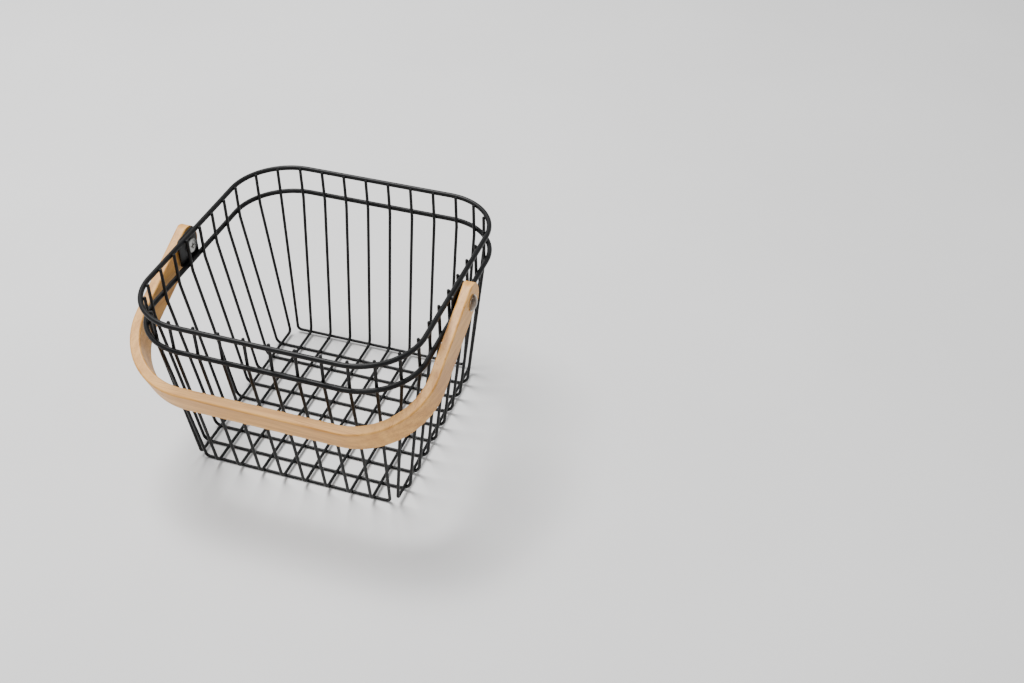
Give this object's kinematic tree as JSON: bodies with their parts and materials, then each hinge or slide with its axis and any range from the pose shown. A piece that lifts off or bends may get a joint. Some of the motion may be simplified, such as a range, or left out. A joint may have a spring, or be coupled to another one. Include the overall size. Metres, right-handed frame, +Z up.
{
  "type": "wire produce basket",
  "caption": "Square black wire basket with sloping walls under a straight collar, and a bent wooden carrying handle that swings on two screwed pivots.",
  "frame": {"origin": "middle of the basket's floor, on the table it stands on", "axes": "+Z up, +X right along the pivots' line, -Y to the front, where the handle hangs"},
  "size_m": [0.2866, 0.2715, 0.1849],
  "materials": {
    "coated_wire": "satin powder coat",
    "coated_plate": "satin powder coat",
    "bent_wood": "clear matt lacquer on light beech",
    "post_metal": "dull brassy plating",
    "screw_metal": "bright zinc plating",
    "dark_washer": "black coating",
    "washer_metal": "dull plating"
  },
  "bodies": {
    "basket": {"top_rim": "coated_wire", "lower_rim": "coated_wire", "left_edge_wire": "coated_wire", "long_wire_1": "coated_wire", "long_wire_2": "coated_wire", "long_wire_3": "coated_wire", "long_wire_4": "coated_wire", "long_wire_5": "coated_wire", "long_wire_6": "coated_wire", "long_wire_7": "coated_wire", "long_wire_8": "coated_wire", "right_edge_wire": "coated_wire", "front_edge_wire": "coated_wire", "cross_wire_1": "coated_wire", "cross_wire_2": "coated_wire", "cross_wire_3": "coated_wire", "cross_wire_4": "coated_wire", "cross_wire_5": "coated_wire", "cross_wire_6": "coated_wire", "cross_wire_7": "coated_wire", "cross_wire_8": "coated_wire", "back_edge_wire": "coated_wire", "pivot_plate_left": "coated_plate", "pivot_plate_right": "coated_plate", "pivot_post_left": "post_metal", "pivot_post_right": "post_metal", "pivot_screw_left": "screw_metal", "pivot_screw_right": "screw_metal", "spacer_washer_left": "dark_washer", "spacer_washer_right": "dark_washer", "head_washer_left": "washer_metal", "head_washer_right": "washer_metal"},
    "handle": {"handle": "bent_wood"}
  },
  "joints": [
    {"name": "handle_swing", "type": "hinge", "parent": "basket", "child": "handle", "pos_m": [0, -0.004, 0.1692], "axis": [-1, 0, 0], "range_deg": [0, 226]}
  ]
}
